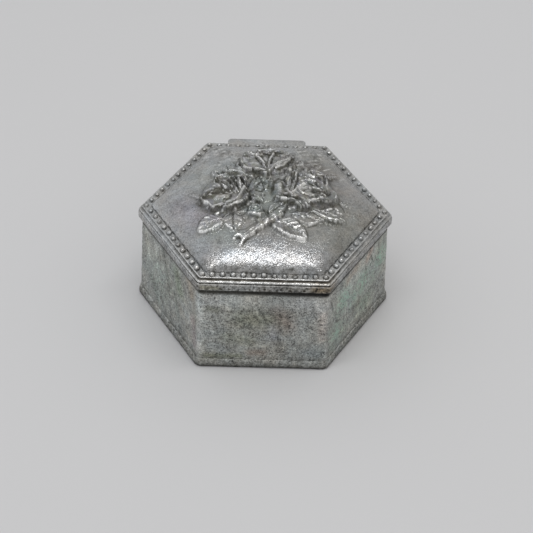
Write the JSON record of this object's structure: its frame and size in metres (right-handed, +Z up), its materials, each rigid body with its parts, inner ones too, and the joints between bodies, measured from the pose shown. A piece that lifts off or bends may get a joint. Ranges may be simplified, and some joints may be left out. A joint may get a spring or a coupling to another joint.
{
  "type": "decorative box",
  "caption": "Small six-sided keepsake box of cast white metal with a hinged, domed lid, a beaded rim and a rose spray in relief.",
  "frame": {"origin": "centre of the flat hexagonal underside", "axes": "+X towards a corner of the hexagon, +Y towards the hinge at the back, +Z up; the front side is at -Y"},
  "size_m": [0.06, 0.0554, 0.035],
  "materials": {
    "base_metal": "cast white metal, dull grey, granular",
    "wall_metal": "cast white metal, mottled grey with pale green patches",
    "lid_metal": "cast white metal, satin grey, bright on worn edges",
    "pin_steel": "plain drawn wire",
    "lining_felt": "thin pressed felt"
  },
  "bodies": {
    "box_body": {"base_plate": "base_metal", "wall_band": "wall_metal", "floor_lining": "lining_felt", "hinge_pin": "pin_steel"},
    "box_lid": {"lid": "lid_metal"}
  },
  "joints": [
    {"name": "lid_hinge", "type": "hinge", "parent": "box_body", "child": "box_lid", "pos_m": [0, 0.02755, 0.02285], "axis": [-1, 0, 0], "range_deg": [0, 105]}
  ]
}
